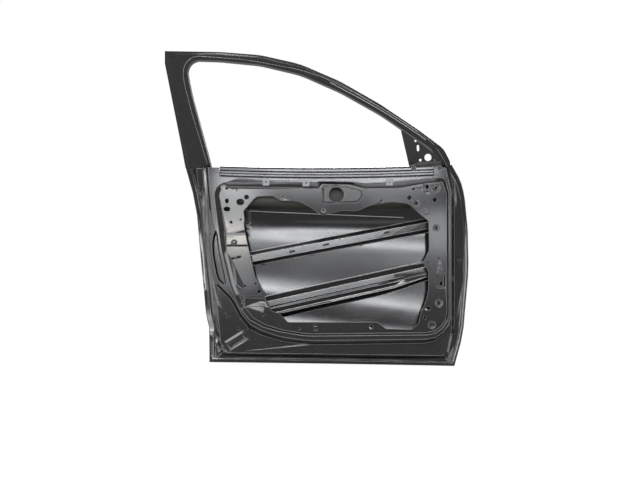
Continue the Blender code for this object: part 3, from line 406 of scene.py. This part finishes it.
for part in ("window_frame_inner", "window_frame_outer"):
    frame_half = dressed_sheet(part, primer(part + "_primer", roughness=0.12, dustiness=0.03, bend=0.0006,
                                            bend_highlight=0.004), crease=30)
    if part == "window_frame_inner":
        inner_half = frame_half
mirror_plate = dressed_sheet("sail_panel", primer("mirror_plate_primer", roughness=0.34, dustiness=0.04,
                                                  bend_highlight=0.04))
PLATE_FOOT_Z, PLATE_FOOT_X, FOOT_DROP = 0.2187, -0.07, 0.015      # its foot goes down behind the waist strip
for vertex in mirror_plate.data.vertices:
    if vertex.co.z < PLATE_FOOT_Z and vertex.co.x < PLATE_FOOT_X:
        vertex.co.z -= FOOT_DROP


def rounded_bead(name, corners, depth_at, radius, material):
    """A thin rounded bead swept through the places given, at the depth that depth_at finds for each."""
    line = []
    for number in range(len(corners) - 1):
        before, start = corners[max(0, number - 1)], corners[number]
        end, after = corners[number + 1], corners[min(len(corners) - 1, number + 2)]
        for step in range(4):
            s = step / 4
            x, z = (0.5 * (2 * b + (c - a) * s + (2 * a - 5 * b + 4 * c - d) * s * s
                           + (3 * b - a - 3 * c + d) * s ** 3)
                    for a, b, c, d in zip(before, start, end, after))
            depth = depth_at(x, z)
            if depth is not None:
                line.append(Vector((x, depth, z)))
    for _ in range(3):
        inner = [Vector((b.x, (a.y + b.y + c.y) / 3, b.z)) for a, b, c in zip(line, line[1:], line[2:])]
        line = [line[0]] + inner + [line[-1]]
    curve = bpy.data.curves.new(name, "CURVE")
    curve.dimensions = "3D"
    curve.bevel_depth = radius
    curve.bevel_resolution = 2
    curve.use_fill_caps = True
    spline = curve.splines.new("POLY")
    spline.points.add(len(line) - 1)
    for point, place in zip(spline.points, line):
        point.co = (*place, 1)
    bead = bpy.data.objects.new(name, curve)
    bpy.context.scene.collection.objects.link(bead)
    bpy.ops.object.select_all(action="DESELECT")
    bead.select_set(True)
    bpy.context.view_layer.objects.active = bead
    bpy.ops.object.convert(target="MESH")
    bead = bpy.context.object
    bead.name = name
    bpy.ops.object.shade_smooth()
    bead.data.materials.clear()
    bead.data.materials.append(material)
    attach(bead, "root")


def on_frame(x, z):
    """Depth of the frame's cabin face behind a place, or nothing where the frame isn't there."""
    found, place, _, _ = inner_half.ray_cast((x, -0.5, z), (0, 1, 0))
    return place.y if found else None


bpy.context.view_layer.update()
SEAL_BEAD = (
    (-0.9428, 0.2103), (-0.9584, 0.2628), (-0.9703, 0.3074), (-0.9915, 0.3812), (-1.009, 0.4542), (-1.0204, 0.5049),
    (-1.024, 0.5409), (-1.0181, 0.5696), (-1.0024, 0.5903), (-0.9816, 0.601), (-0.9516, 0.6031), (-0.8846, 0.5988),
    (-0.8101, 0.5935), (-0.7542, 0.5863), (-0.6983, 0.5767), (-0.6424, 0.5667), (-0.5864, 0.5545), (-0.5115, 0.5316),
    (-0.4552, 0.5085), (-0.3986, 0.4811), (-0.3608, 0.4622), (-0.3229, 0.4415), (-0.2848, 0.4204), (-0.2466, 0.3984),
    (-0.2083, 0.3753), (-0.1698, 0.351), (-0.1312, 0.3259), (-0.0923, 0.297), (-0.0647, 0.2665), (-0.0406, 0.2291),
    (-0.0243, 0.1991))
HEADER_BEAD = (
    (-0.474, 0.5103), (-0.4363, 0.4912), (-0.3986, 0.4716), (-0.3607, 0.4524), (-0.3227, 0.432), (-0.2847, 0.4109),
    (-0.2464, 0.3885), (-0.2081, 0.365), (-0.1696, 0.3407), (-0.1309, 0.3156), (-0.1037, 0.2963))
# The beads' grey colours are painted highlights: a dim grey on the seal bead and a lighter grey on the header beads.
painted_highlight_bead = primer("header_bead_painted_highlight", roughness=0.2, colour=(0.16, 0.16, 0.165))
rounded_bead("seal_bead", SEAL_BEAD, on_frame, 0.0016,
             primer("seal_bead_painted_highlight", roughness=0.2, colour=(0.05, 0.05, 0.05)))
rounded_bead("header_bead", HEADER_BEAD, on_frame, 0.0016, painted_highlight_bead)
rounded_bead("header_front_bead", SEAL_BEAD[19:27], on_frame, 0.0018, painted_highlight_bead)


# Waist strips
# The beaded strip along the waist on the cabin side, the deep hat strip inside the skin, and the
# folded edge that shows below it, painted light grey as a painted highlight.

def bent_sheet(node, material, thickness, radius=0.002, crease=30):
    """A pressed strip whose bends are rounded in the mesh: edges between broad faces are bevelled."""
    piece = merged_copy(node)
    bpy.ops.mesh.tris_convert_to_quads(face_threshold=math.radians(6), shape_threshold=math.radians(75))
    bpy.ops.mesh.select_all(action="DESELECT")
    mesh = bmesh.from_edit_mesh(piece.data)

    def broad(face):
        return face.calc_area() / max(edge.calc_length() for edge in face.edges) > 1.6 * thickness

    for edge in mesh.edges:
        bend = len(edge.link_faces) == 2 and math.radians(12) < edge.calc_face_angle() < math.radians(82)
        edge.select_set(bend and all(broad(face) for face in edge.link_faces))
    bmesh.update_edit_mesh(piece.data)
    bpy.ops.mesh.bevel(offset=radius, segments=3, affect="EDGES", clamp_overlap=True)
    return finished(piece, node, material, crease)


# The strip's bends are painted lighter as a painted highlight.
dressed_sheet("belt_reinforcement_inner",
              primer("waist_strip_primer", roughness=0.09, dustiness=0.05, bend_highlight=0.06), crease=12)
bent_sheet("belt_reinforcement_outer",
           primer("hat_strip_primer", roughness=0.34, colour=(0.009, 0.008, 0.005)), 0.0014, 0.004)
# The folded edge's light grey is a painted highlight.
FLANGE_EDGE = ((-0.8087, 0.0334), (-0.64, 0.0262), (-0.48, 0.0194), (-0.32, 0.0127), (-0.1536, 0.0057))
rounded_bead("waist_flange_edge", FLANGE_EDGE, lambda x, z: skin_y(x, z) - 0.003, 0.0016,
             primer("flange_edge_painted_highlight", roughness=0.25, colour=(0.30, 0.30, 0.29)))


# Intrusion beams
# Two press-hardened beams from ledge to ledge, grooved along their length, three small tabs on
# the upper one, and the soft pads that hold the skin off it.

# The beams' bends are painted light grey as a strong painted highlight.
for part in ("upper_intrusion_beam", "lower_intrusion_beam"):
    dressed_sheet(part, primer(part + "_primer", roughness=0.10, dustiness=0.04, scuffs=0.5, bend=0.0018,
                               bend_highlight=0.45), crease=12)
beam_piece = bpy.data.objects["upper_intrusion_beam_dressed"]
# The tabs' edges are painted lighter as a painted highlight.
tab_primer = primer("beam_tab_primer", roughness=0.45, colour=(0.006, 0.006, 0.006), bend=0.0008, bend_highlight=0.2)
bpy.context.view_layer.update()
TAB_PLACES = ((-0.620, -0.1255), (-0.4883, -0.0990), (-0.2519, -0.0520))
TAB_SIZE = (0.024, 0.0016, 0.009)
BEAM_SLOPE = math.radians(11.4)
for number, (x, z) in enumerate(TAB_PLACES, 1):
    _, place, _, _ = beam_piece.ray_cast((x, -0.5, z), (0, 1, 0))
    bpy.ops.mesh.primitive_cube_add(size=1)
    tab = bpy.context.object
    tab.name = "beam_tab_%d" % number
    bpy.ops.object.mode_set(mode="EDIT")
    bpy.ops.transform.resize(value=TAB_SIZE)
    bpy.ops.mesh.bevel(offset=0.0006, segments=2, affect="EDGES")
    bpy.ops.transform.rotate(value=BEAM_SLOPE, orient_axis="Y", center_override=(0, 0, 0))
    bpy.ops.transform.translate(value=(x, place.y, z))
    bpy.ops.object.mode_set(mode="OBJECT")
    bpy.ops.object.shade_smooth_by_angle(angle=math.radians(30))
    tab.data.materials.append(tab_primer)
    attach(tab, "root")
mastic = primer("pad_mastic", roughness=0.75, dustiness=0.1, bend=0.001)
for number in (1, 2, 3, 4):
    follow_skin(dressed_sheet("upper_mastic_pad_%d" % number, mastic), 0.003)


# Brackets and reinforcements
# The dished bracket of the door pull, the stiffener round the handle opening, which follows the
# skin's pressed lines, the glass guide, and the plates behind the hinges, check strap and latch.

STRIP_HEIGHT, SET_BACK = 0.006, 0.0006
for part in ("pull_handle_bracket", "outer_handle_reinforcement", "rear_glass_guide", "latch_reinforcement",
             "upper_hinge_reinforcement", "lower_hinge_reinforcement", "check_strap_reinforcement"):
    stiffener = dressed_sheet(part, primer(part + "_primer", roughness=0.18, dustiness=0.05))
    if part == "outer_handle_reinforcement":
        mesh = bmesh.new()
        mesh.from_mesh(stiffener.data)
        low, high = min(vertex.co.z for vertex in mesh.verts), max(vertex.co.z for vertex in mesh.verts)
        for count in range(1, int((high - low) / STRIP_HEIGHT)):
            bmesh.ops.bisect_plane(mesh, geom=mesh.verts[:] + mesh.edges[:] + mesh.faces[:],
                                   plane_co=(0, 0, low + STRIP_HEIGHT * count), plane_no=(0, 0, 1), dist=CUT_SNAP)
        mesh.to_mesh(stiffener.data)
        mesh.free()
        follow_skin(stiffener, 0.02)
        for vertex in stiffener.data.vertices:
            vertex.co.y -= SET_BACK


# Fasteners, clips and plug
# Weld nuts and the mirror's two fasteners in the same primer, light plated clips for the trim's
# top edge, and a rubber plug.

nut_primer = primer("nut_primer", roughness=0.3, dustiness=0.2, bend=0.0008)
for part in ("upper_hinge_nut_low", "upper_hinge_nut_high", "lower_hinge_nut_low", "lower_hinge_nut_high",
             "trim_weld_nut"):
    dressed_sheet(part, nut_primer)
# The mirror nuts' bends are painted light grey as a painted highlight.
nut_face = primer("mirror_nut_primer", roughness=0.3, colour=(0.004, 0.004, 0.0045), bend=0.0012, bend_highlight=0.35)
for name, x, z in (("mirror_nut_rear", -0.1562, 0.1907), ("mirror_nut_front", -0.0574, 0.1926)):
    hits = [bpy.data.objects[piece].ray_cast((x, -0.5, z), (0, 1, 0))
            for piece in ("inner_panel_dressed", "belt_reinforcement_inner_dressed", "window_frame_inner_dressed")]
    depth = min(place.y for found, place, _, _ in hits if found)
    bpy.ops.mesh.primitive_cylinder_add(vertices=24, radius=0.0095, depth=0.005)
    nut = bpy.context.object
    nut.name = name
    bpy.ops.object.mode_set(mode="EDIT")
    bpy.ops.mesh.select_mode(type="FACE")
    mesh = bmesh.from_edit_mesh(nut.data)
    for face in mesh.faces:
        face.select_set(face.normal.z > 0.9)
    bmesh.update_edit_mesh(nut.data)
    bpy.ops.mesh.inset(thickness=0.0035)
    bpy.ops.transform.translate(value=(0, 0, -0.004))
    bpy.ops.mesh.select_all(action="SELECT")
    bpy.ops.transform.rotate(value=math.radians(90), orient_axis="X", center_override=(0, 0, 0))
    bpy.ops.transform.translate(value=(x, depth - 0.0005, z))
    bpy.ops.object.mode_set(mode="OBJECT")
    bpy.ops.object.shade_smooth_by_angle(angle=math.radians(35))
    nut.data.materials.append(nut_face)
    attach(nut, "root")
# The clips' grey is their plating; their bends are painted lighter as a painted highlight.
clip_plate = primer("clip_plate", roughness=0.4, dustiness=0.1, colour=(0.11, 0.113, 0.12), bend=0.0008,
                    bend_highlight=0.12)
for part in ("belt_clip_rear", "belt_clip_middle", "belt_clip_front"):
    dressed_sheet(part, clip_plate)
dressed_sheet("ledge_plug", primer("plug_rubber", roughness=0.6, bend=0.001))


# Floor and studio
# A plain pale floor, a white surround, softboxes behind the camera that show as bright bands in
# the primer, two more overhead and to the left, and one behind the door.

def shown_white(nodes, links):
    """One for the rays from the camera, gloss or glass, which see the studio as plain white."""
    rays = nodes.new("ShaderNodeLightPath")
    direct, seen = (nodes.new("ShaderNodeMath") for _ in range(2))
    direct.operation = seen.operation = "MAXIMUM"
    links.new(rays.outputs["Is Camera Ray"], direct.inputs[0])
    links.new(rays.outputs["Is Glossy Ray"], direct.inputs[1])
    links.new(direct.outputs[0], seen.inputs[0])
    links.new(rays.outputs["Is Transmission Ray"], seen.inputs[1])
    return seen.outputs[0]


def pale(name, shaded):
    """A white surface that shows white to the camera and in gloss, and keeps some of its shadow."""
    material = bpy.data.materials.new(name)
    material.use_nodes = True
    nodes, links = material.node_tree.nodes, material.node_tree.links
    shader, output = nodes["Principled BSDF"], nodes["Material Output"]
    shader.inputs["Base Color"].default_value = (0.9, 0.9, 0.9, 1)
    shader.inputs["Roughness"].default_value = 0.9
    glow = nodes.new("ShaderNodeEmission")
    glow.inputs["Strength"].default_value = 1.0
    share = nodes.new("ShaderNodeMath")
    share.operation = "MULTIPLY"
    share.inputs[1].default_value = 1 - shaded
    links.new(shown_white(nodes, links), share.inputs[0])
    mix = nodes.new("ShaderNodeMixShader")
    links.new(share.outputs[0], mix.inputs["Fac"])
    links.new(shader.outputs["BSDF"], mix.inputs[1])
    links.new(glow.outputs["Emission"], mix.inputs[2])
    links.new(mix.outputs["Shader"], output.inputs["Surface"])
    return material


low, high = cad_box
middle = (Vector(low) + Vector(high)) / 2
bpy.ops.mesh.primitive_plane_add(size=14, location=(middle.x, middle.y, low[2] - 0.002))
floor = bpy.context.object
floor.name = "floor"
floor.data.materials.append(pale("floor_pale", 0.07))

world = bpy.data.worlds.new("studio")
bpy.context.scene.world = world
world.use_nodes = True
nodes, links = world.node_tree.nodes, world.node_tree.links
surround = nodes["Background"]
FILL_LEVEL = 0.9
level = nodes.new("ShaderNodeMath")
level.operation = "MULTIPLY_ADD"
level.inputs[1].default_value = 0.1
level.inputs[2].default_value = FILL_LEVEL
links.new(shown_white(nodes, links), level.inputs[0])
links.new(level.outputs[0], surround.inputs["Strength"])
surround.inputs["Color"].default_value = (1, 1, 1, 1)


def area_lamp(name, place, turn, width, height, radiance):
    """A rectangular area lamp whose surface has the radiance given."""
    bpy.ops.object.light_add(type="AREA", location=place, rotation=turn)
    lamp = bpy.context.object
    lamp.name = name
    lamp.data.shape = "RECTANGLE"
    lamp.data.size, lamp.data.size_y = width, height
    lamp.data.energy = radiance * math.pi * width * height
    return lamp


def softbox(name, x_span, z_span, radiance, colour=(0.95, 0.975, 1.0)):
    """An upright lamp behind the camera, given by its sides, that shows as a bright patch in the gloss."""
    lamp = area_lamp(name, (sum(x_span) / 2, -6.0, sum(z_span) / 2), (math.pi / 2, 0, 0),
                     x_span[1] - x_span[0], z_span[1] - z_span[0], radiance)
    lamp.data.color = colour


SKIN_SPAN, LEFT_SPAN = (-1.1, 0.65), (-1.56, -1.13)
softbox("skin_softbox", SKIN_SPAN, (0.58, 0.72), 48)
softbox("skin_softbox_low", SKIN_SPAN, (0.50, 0.58), 16)
softbox("skin_fill", SKIN_SPAN, (0.34, 0.50), 3.5)
softbox("skin_fill_high", SKIN_SPAN, (0.72, 0.77), 8)
softbox("left_high_softbox", LEFT_SPAN, (0.36, 0.64), 26)
softbox("left_softbox", LEFT_SPAN, (0.0, 0.36), 16)
softbox("joggle_softbox", LEFT_SPAN, (-0.13, 0.0), 60, (1.0, 0.95, 0.87))
softbox("left_low_softbox", LEFT_SPAN, (-0.58, -0.12), 9)
softbox("middle_softbox", (0.0, 0.36), (0.24, 0.46), 9)
softbox("right_softbox", (0.46, 0.95), (-0.2, 0.2), 14)
softbox("right_low_softbox", (-0.6, 0.95), (-1.1, -0.2), 2)
for name, place, (width, height), radiance in (("overhead_softbox", (-0.9, -3.2, 3.6), (3.2, 1.2), 25),
                                               ("side_softbox", (-2.8, -2.7, 1.75), (1.3, 1.3), 16)):
    toward_door = (Vector((-0.5, 0, 0)) - Vector(place)).to_track_quat("-Z", "Y").to_euler()
    area_lamp(name, place, toward_door, width, height, radiance)
area_lamp("back_softbox", (-0.5, 5.0, 1.5), (math.radians(-100), 0, 0), 4.5, 1.0, 8).visible_camera = False

bpy.ops.object.camera_add(location=(-0.5115, -3.6473, -0.081), rotation=(math.pi / 2, 0, 0))
camera = bpy.context.object
camera.name = "camera"
camera.data.lens = 53.29
bpy.context.scene.camera = camera
bpy.context.scene.view_settings.view_transform = "Standard"
